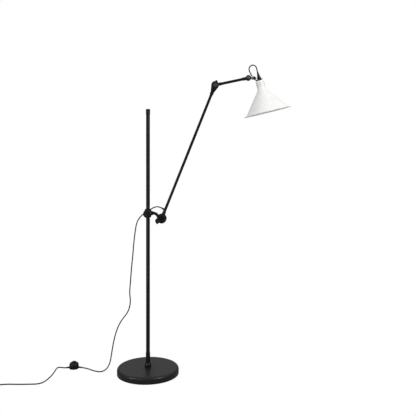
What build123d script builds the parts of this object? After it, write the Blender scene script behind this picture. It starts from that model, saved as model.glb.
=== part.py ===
from build123d import *
import os
from math import cos, pi, radians, sin, tan

# Adjustable arm floor lamp: round weighted base, straight pole, sliding clamp, two-part arm
# and a spun cone shade, with its lead and foot switch. Millimetres, +Z up, origin on the floor
# under the middle of the base. +X is the side that the arm leans to, -Y is the front.

os.makedirs("parts", exist_ok=True)

# Clearances
RUN_GAP = 0.06  # radial gap of a shaft that turns or slides in its hole
SLIP_GAP = 0.1  # gap between pieces that are only put together
FACE_GAP = 0.3  # gap between faces of pieces that move past each other

# Base
BASE_R = 143.0
PAD_T = 2.0
PAD_BORE_R = 24.0
COVER_LIFT = 1.2
COVER_TOP = 32.0
COVER_WALL = 1.4
COVER_EDGE_R = 12.0
COVER_STEP_R = 35.0
COVER_STEP_H = 0.8
STUD_R = 5.0
NUT_FLATS = 17.0
NUT_H = 8.0
WASHER_R = 15.0
WASHER_T = 2.0
COUNTERBORE_R = 17.0

# Pole
POLE_R = 9.0
POLE_WALL = 1.3
POLE_TOP = 1224.0
FOOT_PLUG_H = 38.0
CAP_R = POLE_R + 0.9
CAP_SKIRT = 20.0
CAP_CROWN = 5.0
COLLAR_R = POLE_R + 6.4
COLLAR_NECK_R = POLE_R + 1.8
COLLAR_H = 19.0
SLEEVE_R = POLE_R + 1.2
SLEEVE_H = 46.0

# Sliding clamp
CLAMP_Z = 745.0
CLAMP_H = 34.0
CLAMP_R = POLE_R + 6.5
BUSH_WALL = 1.5
BUSH_FLANGE_R = POLE_R + 4.6
BUSH_FLANGE_T = 2.0
BUSH_SLIT = 2.0
BOSS_R = 9.5
BOSS_REACH = POLE_R + 13.5
KNOB_STUD_R = 4.0
KNOB_R = 19.5
KNOB_T = 20.0
SIDE_BOSS_R = 10.5
SIDE_BOSS_REACH = POLE_R + 9
SPACER_R = 9.3
SPACER_T = 6.0
SPACER_SCREW_R = 3.0
BAR_T = 12.0
BAR_W = 14.0
BAR_BEND_R = 24.0

# Shoulder joint
SHOULDER_X = 64.0
SHOULDER_Z = 720.0
SHOULDER_R = 22.5
SHOULDER_FRONT = 13.0
SHOULDER_BACK = 11.0
SHOULDER_RECESS_R = 11.0
SHOULDER_RECESS = 4.0
SHOULDER_BOLT_R = 4.0
SHOULDER_EYE_R = 19.5
SHOULDER_EYE_T = 10.0

# Arms
ARM_R = 6.35
ARM_WALL = 1.2
LONG_LEAN = 21.8
LONG_LENGTH = 668.0
SHORT_RISE = 12.0
SHORT_LENGTH = 158.0
SOCKET_R = 8.0
GLAND_AT = 42.3
GLAND_HEADING = 149.5
GLAND_LENGTH = 17.1
GLAND_R = 4.4

# Elbow joint
ELBOW_R = 18.0
ELBOW_FRONT = 11.0
ELBOW_BACK = 10.0
ELBOW_BOLT_R = 3.5
ELBOW_EYE_R = 15.5
ELBOW_EYE_T = 8.0
ELBOW_TAPER = 36.0
ELBOW_CAP_R = 10.0
ELBOW_SLOT = 12.5

# Head joint
HEAD_R = 13.0
HEAD_FRONT = 11.0
HEAD_BACK = 11.0
HEAD_BOLT_R = 3.0
HEAD_EYE_R = 10.5
HEAD_EYE_T = 8.0
HEAD_DOME_R = 6.8
HEAD_NUT_R = 8.5
STEM_R = 4.5
STEM_COLLAR_R = 8.6
STEM_NECK_R = 3.6
STEM_COLLAR_AT = 15.5
STEM_COLLAR_T = 6.5
HOLDER_T = 8.0
HOLDER_R = 7.6
WEB_T = 7.0
STEM_NUT_FLATS = 9.5
STEM_NUT_T = 5.5

# Shade and lamp holder, in the head's own frame: its Z runs up the shade's axis
SHADE_LEAN = -13.8
NECK_OUT = 48.0
NECK_DROP = 25.0
NECK_R = 20.0
NECK_H = 42.0
SHADE_WALL = 1.2
CONE_R = 99.0
CONE_END = 147.0
BRIM_R = 110.0
BRIM_DROP = 2.5
VENT_R = 1.7
VENT_ROWS = (10.0, 18.0, 26.0)
VENT_COUNT = 14
NIPPLE_R = 5.0
HUB_R = 9.5
HUB_H = 15.0
FLANGE_R = 14.0
FLANGE_T = 3.0
HEAD_GLAND_H = 21.0
HEAD_GLAND_R = 6.2
HOLDER_CUP_R = 14.0
HOLDER_CUP_H = 46.0
LAMP_CAP_R = 6.9
LAMP_CAP_H = 26.0
LAMP_R = 22.5
LAMP_BALL_AT = 92.0

# Lead, foot switch and plug
CORD_R = 2.75
CORD_Z = CORD_R + 0.15
CORNER_SHARE = 0.45
SWITCH_X = -358.0
SWITCH_Y = 66.0
SWITCH_HEADING = 183.0
SWITCH_R = 22.0
SWITCH_BASE_H = 11.0
SWITCH_H = 29.0
BUTTON_R = 9.0
BUTTON_RISE = 4.5
RELIEF_LENGTH = 16.0
RELIEF_R = 4.6
RELIEF_Z = 5.0
COIL_X = -700.0
COIL_Y = -121.0
COIL_IN_R = 24.6
COIL_OUT_R = 35.8
COIL_H = 16.8
TIE_W = 6.0
TIE_T = 0.9
TIE_AT = 62.0
PLUG_L = 35.0
PLUG_W = 35.0
PLUG_T = 13.6
PLUG_LIFT = 0.3
PLUG_SLEEVE = 20.0
PIN_R = 2.0
PIN_L = 19.0
PIN_SPACING = 18.6


def write(name, shape):
    """One named sub-part to its own file."""
    shape.label = name
    export_step(shape, f"parts/{name}.step")


def leaning(point, lean):
    """A frame at point whose Z leans by lean degrees from upright towards +X."""
    s = sin(radians(lean))
    c = cos(radians(lean))
    return Plane(origin=point, x_dir=(c, 0, -s), z_dir=(s, 0, c))


def along(point, direction):
    """A frame at point whose Z runs along direction, level in Y."""
    d = Vector(*direction).normalized()
    side = Vector(0, 1, 0).cross(d)
    return Plane(origin=point, x_dir=tuple(side), z_dir=tuple(d))


def rod(radius, low, high):
    """A cylinder on the Z axis between two heights."""
    return Pos(0, 0, (low + high) / 2) * Cylinder(radius, high - low)


def ring(outer, inner, low, high):
    return rod(outer, low, high) - rod(inner, low - 1, high + 1)


def turned(*outline):
    """A solid of revolution about Z from (radius, height) corners."""
    return revolve(Plane.XZ * make_face(Polyline(*outline, close=True)), axis=Axis.Z)


def cross_disc(radius, front, back, x=0.0, z=0.0):
    """A cylinder along Y from front (negative) to back."""
    return Pos(x, (front + back) / 2, z) * Rot(90, 0, 0) * Cylinder(radius, back - front)


def block(x0, x1, y0, y1, z0, z1):
    centre = Pos((x0 + x1) / 2, (y0 + y1) / 2, (z0 + z1) / 2)
    return centre * Box(x1 - x0, y1 - y0, z1 - z0)


def hex_prism(flats, low, high):
    face = RegularPolygon(flats / 2, 6, major_radius=False)
    return Pos(0, 0, low) * extrude(face, high - low)


def heading(degrees_from_x):
    a = radians(degrees_from_x)
    return (cos(a), 0, sin(a))


# ---------------------------------------------------------------- base

STEP_TOP = COVER_TOP + COVER_STEP_H


def domed_disc(radius, low, high, edge):
    """A disc whose upper edge is rounded."""
    disc = rod(radius, low, high)
    return fillet(disc.edges().group_by(Axis.Z)[-1], edge)


def build_base():
    write("base_pad", ring(BASE_R - 4, PAD_BORE_R, 0, PAD_T))

    skin = domed_disc(BASE_R, COVER_LIFT, COVER_TOP, COVER_EDGE_R)
    skin += domed_disc(COVER_STEP_R, COVER_TOP - 1, STEP_TOP, COVER_STEP_H / 2)
    inner_edge = COVER_EDGE_R - COVER_WALL
    skin -= domed_disc(BASE_R - COVER_WALL, COVER_LIFT - 1, COVER_TOP - COVER_WALL, inner_edge)
    write("base_cover", skin - rod(STUD_R + SLIP_GAP, 0, STEP_TOP + 1))

    ledge = PAD_T + NUT_H + WASHER_T
    core_r = BASE_R - COVER_WALL - SLIP_GAP
    core = domed_disc(core_r, PAD_T, COVER_TOP - COVER_WALL - SLIP_GAP, inner_edge)
    core -= rod(STUD_R + SLIP_GAP, 0, COVER_TOP)
    write("base_weight", core - rod(COUNTERBORE_R, 0, ledge))

    write("base_washer", ring(WASHER_R, STUD_R + SLIP_GAP, ledge - WASHER_T, ledge))
    nut = hex_prism(NUT_FLATS, PAD_T, ledge - WASHER_T) - rod(STUD_R + RUN_GAP, 0, ledge)
    write("base_nut", nut)


# ---------------------------------------------------------------- pole

def build_pole():
    bore = POLE_R - POLE_WALL
    write("pole_tube", ring(POLE_R, bore, STEP_TOP, POLE_TOP))
    plug = rod(bore - SLIP_GAP, STEP_TOP, STEP_TOP + FOOT_PLUG_H)
    write("pole_foot", plug + rod(STUD_R, PAD_T + 1, STEP_TOP))

    collar_top = STEP_TOP + COLLAR_H
    hole = POLE_R + SLIP_GAP
    side = ThreePointArc(
        (COLLAR_R, STEP_TOP + 2.5),
        (COLLAR_R - 1.1, STEP_TOP + COLLAR_H * 0.62),
        (COLLAR_NECK_R, collar_top),
    )
    rest = Polyline(
        (COLLAR_NECK_R, collar_top), (hole, collar_top), (hole, STEP_TOP),
        (COLLAR_R, STEP_TOP), (COLLAR_R, STEP_TOP + 2.5),
    )
    write("base_collar", revolve(Plane.XZ * make_face([side, rest]), axis=Axis.Z))

    sleeve = rod(SLEEVE_R, collar_top, collar_top + SLEEVE_H)
    sleeve = chamfer(sleeve.edges().group_by(Axis.Z)[-1], 0.6)
    write("pole_sleeve", sleeve - rod(hole, 0, collar_top + SLEEVE_H + 1))

    cap = rod(CAP_R, POLE_TOP - CAP_SKIRT, POLE_TOP + CAP_CROWN)
    cap = fillet(cap.edges().group_by(Axis.Z)[-1], 3.5)
    write("pole_cap", cap - rod(hole, POLE_TOP - CAP_SKIRT - 1, POLE_TOP + SLIP_GAP))


# ---------------------------------------------------------------- sliding clamp

BUSH_R = POLE_R + RUN_GAP + BUSH_WALL
CLAMP_LOW = CLAMP_Z - CLAMP_H / 2
CLAMP_HIGH = CLAMP_Z + CLAMP_H / 2
KNOB_BACK = -(BOSS_REACH + 1.5)


def build_clamp():
    low = CLAMP_LOW - FACE_GAP
    high = CLAMP_HIGH + FACE_GAP
    bush = rod(BUSH_R, low, high)
    bush += rod(BUSH_FLANGE_R, low - BUSH_FLANGE_T, low)
    bush += rod(BUSH_FLANGE_R, high, high + BUSH_FLANGE_T)
    bush -= rod(POLE_R + RUN_GAP, low - 5, high + 5)
    write("pole_bush", bush - block(-BUSH_SLIT / 2, BUSH_SLIT / 2, 0, 20, low - 5, high + 5))

    body = rod(CLAMP_R, CLAMP_LOW, CLAMP_HIGH)
    body = fillet(body.edges().filter_by(GeomType.CIRCLE), 1.5)
    body += cross_disc(BOSS_R, -BOSS_REACH, 0, z=CLAMP_Z)
    body += along((0, 0, CLAMP_Z), (1, 0, 0)) * rod(SIDE_BOSS_R, 0, SIDE_BOSS_REACH)
    body -= rod(BUSH_R + RUN_GAP, CLAMP_LOW - 1, CLAMP_HIGH + 1)
    body -= cross_disc(KNOB_STUD_R + RUN_GAP, -BOSS_REACH - 1, 0, z=CLAMP_Z)
    screw_hole = rod(SPACER_SCREW_R + SLIP_GAP, BUSH_R, SIDE_BOSS_REACH + 1)
    body -= along((0, 0, CLAMP_Z), (1, 0, 0)) * screw_hole
    write("clamp_body", body)

    knob = cross_disc(KNOB_R, KNOB_BACK - KNOB_T, KNOB_BACK, z=CLAMP_Z)
    knob = fillet(knob.edges().group_by(Axis.Y)[0], 4.5)
    knob = chamfer(knob.edges().group_by(Axis.Y)[-1], 1.0)
    stud_tip = -(BUSH_R + SLIP_GAP)
    knob -= cross_disc(KNOB_STUD_R, KNOB_BACK - 12, KNOB_BACK + 1, z=CLAMP_Z)
    write("clamp_knob", knob)
    write("clamp_knob_stud", cross_disc(KNOB_STUD_R, KNOB_BACK - 12, stud_tip, z=CLAMP_Z))

    side = along((0, 0, CLAMP_Z), (1, 0, 0))
    spacer_end = SIDE_BOSS_REACH + SPACER_T
    write("bracket_spacer", side * ring(
        SPACER_R, SPACER_SCREW_R + SLIP_GAP, SIDE_BOSS_REACH, spacer_end))
    write("bracket_screw", side * rod(SPACER_SCREW_R, BUSH_R + 0.5, spacer_end + 7))


def build_bracket():
    """A bar that bends down from the clamp into the two cheeks of the shoulder fork."""
    start = SIDE_BOSS_REACH + SPACER_T
    section = Rectangle(BAR_W, BAR_T)
    path = CenterArc((0, 0), BAR_BEND_R, 90, -72)
    path = Plane((start, 0, CLAMP_Z - BAR_BEND_R), x_dir=(1, 0, 0), z_dir=(0, -1, 0)) * path
    face = Plane(path @ 0, x_dir=(0, 1, 0), z_dir=path % 0) * section
    bar = sweep(face, path=path)
    bar += along((start, 0, CLAMP_Z), (1, 0, 0)) * rod(BAR_T / 2 + 1, 0, 5)

    fork = cross_disc(SHOULDER_R, -SHOULDER_FRONT, SHOULDER_BACK, SHOULDER_X, SHOULDER_Z)
    fork = fillet(fork.edges().filter_by(GeomType.CIRCLE), 3.2)
    whole = bar + fork
    half_gap = SHOULDER_EYE_T / 2 + FACE_GAP
    inner = SHOULDER_EYE_R + 0.5
    slot = cross_disc(inner, -half_gap, half_gap, SHOULDER_X, SHOULDER_Z)
    slot += block(
        SHOULDER_X - 9, SHOULDER_X + 40, -half_gap, half_gap, SHOULDER_Z - 40, SHOULDER_Z + 40)
    whole -= slot
    whole -= cross_disc(
        SHOULDER_RECESS_R, -SHOULDER_FRONT - 1, -SHOULDER_FRONT + SHOULDER_RECESS,
        SHOULDER_X, SHOULDER_Z)
    whole -= cross_disc(SHOULDER_BOLT_R + RUN_GAP, -40, 40, SHOULDER_X, SHOULDER_Z)
    whole -= along((0, 0, CLAMP_Z), (1, 0, 0)) * rod(SPACER_SCREW_R + SLIP_GAP, 0, start + 8)
    write("shoulder_bracket", whole)

    seat = -SHOULDER_FRONT + SHOULDER_RECESS
    shank = cross_disc(SHOULDER_BOLT_R, seat, SHOULDER_BACK + 8, SHOULDER_X, SHOULDER_Z)
    head = cross_disc(SHOULDER_RECESS_R - 1.5, seat - 3.5, seat, SHOULDER_X, SHOULDER_Z)
    head = chamfer(head.edges().group_by(Axis.Y)[0], 1.0)
    socket = Pos(SHOULDER_X, seat - 1.2, SHOULDER_Z) * Rot(90, 0, 0) * hex_prism(8, 0, 5)
    write("shoulder_bolt", shank + head - socket)


def lever(x, z, back, bolt_r, hub_r, reach, width, angle):
    """A clamping lever nut behind a joint: round hub with one flat paddle."""
    low = back + FACE_GAP
    high = low + 9
    hub = cross_disc(hub_r, low, high)
    hub = fillet(hub.edges().group_by(Axis.Y)[-1], 1.5)
    paddle = make_hull([
        *Circle(hub_r - 3).edges(),
        *(Pos(reach - width * 0.45, 0) * Circle(width * 0.45)).edges(),
        *(Pos(reach - 1.5, width * 0.42) * Circle(1.5)).edges(),
    ])
    paddle = Plane((0, high - 1.5, 0), x_dir=(1, 0, 0), z_dir=(0, -1, 0)) * extrude(paddle, 5)
    whole = hub + Rot(0, -angle, 0) * paddle
    whole -= cross_disc(bolt_r + RUN_GAP, low - 1, high - 1)
    return Pos(x, 0, z) * whole


# ---------------------------------------------------------------- long arm and elbow

SHOULDER = (SHOULDER_X, 0, SHOULDER_Z)
LONG = leaning(SHOULDER, LONG_LEAN)
ELBOW = tuple(LONG.from_local_coords((0, 0, LONG_LENGTH)))
SHORT = leaning(ELBOW, 90 - SHORT_RISE)
HEAD_JOINT = tuple(SHORT.from_local_coords((0, 0, SHORT_LENGTH)))
SHOULDER_SOCKET = (SHOULDER_R + 1, 36.0)


def gland(length, base_r, tip_r):
    """A tapered strain relief on a short hexagon, along Z."""
    nut = hex_prism(base_r * 2 - 0.4, 0, length * 0.3)
    cone = Pos(0, 0, length * 0.65) * Cone(base_r * 0.86, tip_r, length * 0.7)
    return nut + cone


def build_long_arm():
    half = SHOULDER_EYE_T / 2
    socket_low, socket_high = SHOULDER_SOCKET
    eye = cross_disc(SHOULDER_EYE_R, -half, half)
    eye = chamfer(eye.edges().filter_by(GeomType.CIRCLE), 0.6)
    eye += block(-SOCKET_R, SOCKET_R, -half, half, 0, socket_low + 1)
    socket = rod(SOCKET_R, socket_low, socket_high)
    eye += chamfer(socket.edges().filter_by(GeomType.CIRCLE), 0.8)
    eye -= rod(ARM_R + SLIP_GAP / 2, socket_low + 3, socket_high + 1)
    eye -= cross_disc(SHOULDER_BOLT_R + RUN_GAP, -40, 40)
    write("shoulder_eye", LONG * eye)

    tube_low = socket_low + 3.2
    tube_high = LONG_LENGTH - ELBOW_TAPER - 0.2
    tube = ring(ARM_R, ARM_R - ARM_WALL, tube_low, tube_high)
    out = heading(GLAND_HEADING)
    root = Vector(*LONG.from_local_coords((0, 0, GLAND_AT)))
    gland_frame = along(tuple(root), out)
    tube_wall = LONG * tube
    write("long_arm_tube", tube_wall - gland_frame * rod(CORD_R + 0.3, 0, 20))
    relief = gland_frame * (Pos(0, 0, ARM_R - 1.5) * gland(GLAND_LENGTH - ARM_R + 1.5, GLAND_R, 3.4))
    write("arm_gland", relief - LONG * rod(ARM_R + SLIP_GAP / 2, 0, 100))


def build_elbow():
    drop = LONG_LENGTH - ELBOW_TAPER
    half_gap = ELBOW_EYE_T / 2 + FACE_GAP
    teardrop = make_hull([
        *Circle(ELBOW_R).edges(),
        *(Pos(0, -ELBOW_TAPER + 2) * Circle(SOCKET_R)).edges(),
    ])
    slab = Plane((0, ELBOW_BACK, 0), x_dir=(1, 0, 0), z_dir=(0, -1, 0)) * extrude(
        teardrop, ELBOW_FRONT + ELBOW_BACK)
    slab = fillet(slab.faces().sort_by(Axis.Y)[0].outer_wire().edges(), 2.2)
    slab = fillet(slab.faces().sort_by(Axis.Y)[-1].outer_wire().edges(), 2.2)
    slab += rod(SOCKET_R + 0.6, -ELBOW_TAPER - 12, -ELBOW_TAPER + 6)
    slot = cross_disc(ELBOW_EYE_R + 0.5, -half_gap, half_gap)
    slot += block(-40, 40, -half_gap, half_gap, -ELBOW_SLOT, 40)
    slab -= slot
    slab -= rod(ARM_R + SLIP_GAP / 2, -ELBOW_TAPER - 20, -ELBOW_TAPER)
    slab -= cross_disc(ELBOW_BOLT_R + RUN_GAP, -40, 40)
    write("elbow_fork", LONG * Pos(0, 0, LONG_LENGTH) * slab)

    bolt = cross_disc(ELBOW_BOLT_R, -ELBOW_FRONT, ELBOW_BACK + 8)
    cap = cross_disc(ELBOW_CAP_R, -ELBOW_FRONT - 3.5, -ELBOW_FRONT)
    cap = fillet(cap.edges().group_by(Axis.Y)[0], 2.2)
    write("elbow_bolt", Pos(*ELBOW) * (bolt + cap))


def build_short_arm():
    half = ELBOW_EYE_T / 2
    eye = cross_disc(ELBOW_EYE_R, -half, half)
    eye = chamfer(eye.edges().filter_by(GeomType.CIRCLE), 0.6)
    eye += block(-6, 6, -half, half, 0, ELBOW_R + 2)
    socket = rod(SOCKET_R - 0.4, ELBOW_R + 1, ELBOW_R + 13)
    eye += chamfer(socket.edges().filter_by(GeomType.CIRCLE), 0.8)
    eye -= rod(ARM_R + SLIP_GAP / 2, ELBOW_R + 3, ELBOW_R + 14)
    eye -= cross_disc(ELBOW_BOLT_R + RUN_GAP, -40, 40)
    write("elbow_eye", SHORT * eye)

    tube_end = SHORT_LENGTH - HEAD_R - 5
    write("short_arm_tube", SHORT * ring(ARM_R, ARM_R - ARM_WALL, ELBOW_R + 3.2, tube_end))

    half_gap = HEAD_EYE_T / 2 + FACE_GAP
    fork = cross_disc(HEAD_R, -HEAD_FRONT, HEAD_BACK)
    fork = fillet(fork.edges().filter_by(GeomType.CIRCLE), 2.5)
    fork += rod(SOCKET_R - 0.2, -HEAD_R - 14, -HEAD_R + 3)
    slot = cross_disc(HEAD_EYE_R + 0.5, -half_gap, half_gap)
    slot += block(-40, 40, -half_gap, half_gap, -5, 40)
    fork -= slot
    fork -= rod(ARM_R + SLIP_GAP / 2, -40, -HEAD_R - 4.8)
    fork -= cross_disc(HEAD_BOLT_R + RUN_GAP, -40, 40)
    write("head_fork", SHORT * Pos(0, 0, SHORT_LENGTH) * fork)

    bolt = cross_disc(HEAD_BOLT_R, -HEAD_FRONT, HEAD_BACK + 8)
    dome = cross_disc(HEAD_DOME_R, -HEAD_FRONT - 4.5, -HEAD_FRONT)
    dome = fillet(dome.edges().group_by(Axis.Y)[0], 3.6)
    write("head_bolt", Pos(*HEAD_JOINT) * (bolt + dome))


# ---------------------------------------------------------------- head

STEM = along(HEAD_JOINT, (1, 0, 0))
HOLDER_AT = STEM_COLLAR_AT + STEM_COLLAR_T + FACE_GAP
STEM_NUT_AT = HOLDER_AT + HOLDER_T + FACE_GAP
STEM_END = STEM_NUT_AT + STEM_NUT_T - 1
TILTED = leaning(HEAD_JOINT, SHADE_LEAN)
NECK_TOP = tuple(TILTED.from_local_coords((NECK_OUT, 0, -NECK_DROP)))
HEAD = leaning(NECK_TOP, SHADE_LEAN)


def build_head_joint():
    half = HEAD_EYE_T / 2
    eye = cross_disc(HEAD_EYE_R, -half, half)
    eye += rod(STEM_R, HEAD_R + 1, STEM_END)
    eye += rod(STEM_NECK_R, 0, HEAD_R + 2)
    eye -= cross_disc(HEAD_BOLT_R + RUN_GAP, -40, 40)
    write("head_stem", STEM * eye)

    collar_end = STEM_COLLAR_AT + STEM_COLLAR_T
    collar = ring(STEM_COLLAR_R, STEM_R + SLIP_GAP / 2, STEM_COLLAR_AT, collar_end)
    collar = fillet(collar.edges().filter_by(GeomType.CIRCLE).sort_by(SortBy.RADIUS)[-2:], 1.2)
    write("stem_collar", STEM * collar)

    nut = hex_prism(STEM_NUT_FLATS, STEM_NUT_AT, STEM_NUT_AT + STEM_NUT_T)
    write("stem_nut", STEM * (nut - rod(STEM_R + SLIP_GAP / 2, 0, STEM_END + SLIP_GAP)))

    nut = cross_disc(HEAD_NUT_R, HEAD_BACK + FACE_GAP, HEAD_BACK + 9)
    nut = chamfer(nut.edges().filter_by(GeomType.CIRCLE), 1.0)
    nut -= cross_disc(HEAD_BOLT_R + RUN_GAP, 0, HEAD_BACK + 8.2)
    write("head_thumb_nut", Pos(*HEAD_JOINT) * nut)


def build_holder():
    """The casting that hangs the shade from the stem: sleeve, web and flange."""
    sleeve_frame = along(tuple(STEM.from_local_coords((0, 0, HOLDER_AT))), (1, 0, 0))
    sleeve = sleeve_frame * rod(HOLDER_R, 0, HOLDER_T)
    low = SLIP_GAP
    under = HEAD_JOINT[2] - (STEM_R + HOLDER_R) / 2
    near = HEAD.to_local_coords(Vector(HEAD_JOINT[0] + HOLDER_AT + 1.5, 0, under))
    far = HEAD.to_local_coords(Vector(HEAD_JOINT[0] + HOLDER_AT + HOLDER_T - 1.5, 0, under))
    web = Polyline(
        (near.X, near.Z), (far.X, far.Z), (-HUB_R - 3, FLANGE_T + 4.5),
        (-HUB_R + 4, low), (-FLANGE_R + 1, low), close=True,
    )
    web = Plane((0, WEB_T / 2, 0), x_dir=(1, 0, 0), z_dir=(0, -1, 0)) * extrude(make_face(web), WEB_T)
    flange = rod(FLANGE_R, low, FLANGE_T)
    flange = chamfer(flange.edges().group_by(Axis.Z)[-1], 0.6)
    casting = HEAD * (web + flange) + sleeve
    casting -= sleeve_frame * rod(STEM_R + RUN_GAP, -10, HOLDER_T + 20)
    casting -= HEAD * rod(HUB_R + SLIP_GAP, FLANGE_T, 60)
    casting -= HEAD * rod(NIPPLE_R + SLIP_GAP, -1, 60)
    write("shade_holder", casting)

    hub_top = FLANGE_T + HUB_H
    hub = rod(HUB_R, FLANGE_T, hub_top)
    hub = chamfer(hub.edges().group_by(Axis.Z)[-1], 0.8)
    screw_at = FLANGE_T + HUB_H * 0.3
    hole = Pos(0, 0, screw_at) * Rot(0, 90, 0) * rod(2.1, NIPPLE_R, HUB_R + 2)
    hub -= rod(NIPPLE_R + SLIP_GAP, 0, hub_top - 4)
    write("holder_hub", HEAD * (hub - hole))
    screw = rod(2.0, NIPPLE_R + 0.5, HUB_R + 4) + Pos(0, 0, HUB_R + 5.5) * Cone(2.6, 0.9, 3)
    write("hub_screw", HEAD * Pos(0, 0, screw_at) * Rot(0, 90, 0) * screw)

    top = hub_top + HEAD_GLAND_H
    write("head_gland", HEAD * Pos(0, 0, hub_top) * gland(HEAD_GLAND_H, HEAD_GLAND_R, 3.4))
    write("nipple", HEAD * ring(NIPPLE_R, 3.2, -16, hub_top - 4.2))
    nut = hex_prism(14, -SHADE_WALL - 4.2, -SHADE_WALL - SLIP_GAP)
    write("nipple_nut", HEAD * (nut - rod(NIPPLE_R + SLIP_GAP, -20, 0)))
    return tuple(HEAD.from_local_coords((0, 0, top)))


def build_shade():
    slope = (CONE_R - NECK_R) / (CONE_END - NECK_H)
    inset = SHADE_WALL * (1 + slope ** 2) ** 0.5
    inner_neck = NECK_R - SHADE_WALL
    bend = -NECK_H - (inner_neck + inset - NECK_R) / slope
    outline = [
        (0, 0), (NECK_R, 0), (NECK_R, -NECK_H), (CONE_R, -CONE_END), (BRIM_R, -CONE_END - BRIM_DROP),
        (BRIM_R, -CONE_END - BRIM_DROP - SHADE_WALL), (CONE_R - inset, -CONE_END - SHADE_WALL),
        (inner_neck, bend), (inner_neck, -SHADE_WALL), (0, -SHADE_WALL),
    ]
    shade = turned(*outline)
    bends = shade.edges().filter_by(GeomType.CIRCLE)
    neck_bend = [e for e in bends if -NECK_H - 3 < e.center().Z < -NECK_H + 3]
    shade = fillet(neck_bend, 12)
    shoulder = [
        e for e in shade.edges().filter_by(GeomType.CIRCLE)
        if e.center().Z > -0.1 and e.radius > NECK_R - 1
    ]
    shade = fillet(shoulder, 1.0)
    shade -= rod(NIPPLE_R + SLIP_GAP, -5, 5)
    for row, depth in enumerate(VENT_ROWS):
        for k in range(VENT_COUNT):
            turn = 360 / VENT_COUNT * (k + 0.5 * (row % 2))
            shade -= Rot(0, 0, turn) * Pos(0, 0, -depth) * Rot(0, 90, 0) * rod(
                VENT_R, NECK_R - 6, NECK_R + 4)
    write("shade", HEAD * shade)


def build_lamp():
    cup_top = -SHADE_WALL - 4.5
    cup = rod(HOLDER_CUP_R, cup_top - HOLDER_CUP_H, cup_top)
    cup = fillet(cup.edges().group_by(Axis.Z)[-1], 3)
    cup -= rod(NIPPLE_R + SLIP_GAP, -16.2, 0)
    mouth = cup_top - HOLDER_CUP_H
    cup -= rod(LAMP_CAP_R + 0.6, mouth - 1, mouth + LAMP_CAP_H)
    write("lampholder", HEAD * cup)

    cap_top = mouth + LAMP_CAP_H - 2
    cap = rod(LAMP_CAP_R, cap_top - LAMP_CAP_H, cap_top)
    write("lamp_cap", HEAD * chamfer(cap.edges().group_by(Axis.Z)[-1], 2))
    glass_top = cap_top - LAMP_CAP_H
    ball = Pos(0, 0, -LAMP_BALL_AT) * Sphere(LAMP_R)
    throat = Pos(0, 0, (glass_top - LAMP_BALL_AT) / 2)
    throat *= Cone(LAMP_R * 0.8, LAMP_CAP_R + 1, glass_top + LAMP_BALL_AT)
    write("lamp_glass", HEAD * (ball + throat))


# ---------------------------------------------------------------- lead

def corner_radii(points):
    """The largest arc that each corner's two runs allow."""
    radii = []
    for a, b, c in zip(points, points[1:], points[2:]):
        before = Vector(*b) - Vector(*a)
        after = Vector(*c) - Vector(*b)
        half_turn = radians(before.get_angle(after)) / 2
        radii.append(CORNER_SHARE * min(before.length, after.length) / tan(half_turn))
    return radii


def tube(name, points):
    """A cord's tube along straight runs and the arcs between them."""
    radii = corner_radii(points)
    line = FilletPolyline(*points, radius=radii)
    start = Plane(points[0], z_dir=tuple(Vector(*points[1]) - Vector(*points[0])))
    solid = sweep(start * Circle(CORD_R), path=line)
    expected = pi * CORD_R ** 2 * line.length
    print(f"{name}: {line.length:.1f} mm, volume/expected {solid.volume / expected:.4f}")
    print("   radii", [round(r, 1) for r in radii])
    write(name, solid)


def between(a, b, share):
    return tuple(a[i] + (b[i] - a[i]) * share for i in range(3))


ARM_GLAND_TIP = tuple(
    Vector(*LONG.from_local_coords((0, 0, GLAND_AT))) + Vector(*heading(GLAND_HEADING)) * GLAND_LENGTH)

# From the arm's gland over and behind the pole, down to the floor and on to the foot switch
DROP_ROUTE = [
    ARM_GLAND_TIP,
    (49, 3, 775.5),
    (29, 10, 772),
    (11, 17.5, 761),
    (-9, 24, 748),
    (-28, 21, 736),
    (-44, 12, 718),
    (-54, 6, 697),
    (-59, 3, 666),
    (-65, 1, 619),
    (-70, -1, 554),
    (-77, 0, 487),
    (-82, 2, 419),
    (-86, 0, 375),
    (-80, -2, 331),
    (-91, -3, 286),
    (-128, -2, 242),
    (-151, 1, 187),
    (-164, 0, 126),
    (-171, 1, 79),
    (-178, 3, 44),
    (-194, 7, 16),
    (-218, 11, CORD_Z),
    (-242, 16, CORD_Z),
    (-269, 34, CORD_Z),
    (-292, 56, CORD_Z),
]
POLE_SPLIT = 3  # the run behind the pole in which the arm's stretch ends
SIDE_SPLIT = 7  # the run beside the pole in which the hanging stretch begins

# From the switch round its kink, back across the floor and away to the coil
FLOOR_ROUTE = [
    (-412, 65, CORD_Z),
    (-431, 73, CORD_Z),
    (-438.5, 60, CORD_Z),
    (-438, 40, CORD_Z),
    (-437.5, -15, CORD_Z),
    (-443, -69, CORD_Z),
    (-453, -116, CORD_Z),
    (-474.5, -137, CORD_Z),
    (-510, -139, CORD_Z),
    (-563, -141, CORD_Z),
    (-610, -138, CORD_Z),
    (-653, -147, CORD_Z),
]

# The loop over the head, measured from the head's joint
HEAD_LOOP = [
    (6.4, -1, 26), (2.2, -2, 42), (6.9, -3, 53.4), (17.2, -4, 60), (28.9, -3, 58.3), (37.4, -1.5, 49.5),
]

# From the coil's top turn down to the plug, measured from the coil's middle
TAIL_ROUTE = [(-33, -4, 14.2), (-33, 9, 13.5), (-34, 22, 10.5), (-34, 34, 8.2)]


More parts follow.
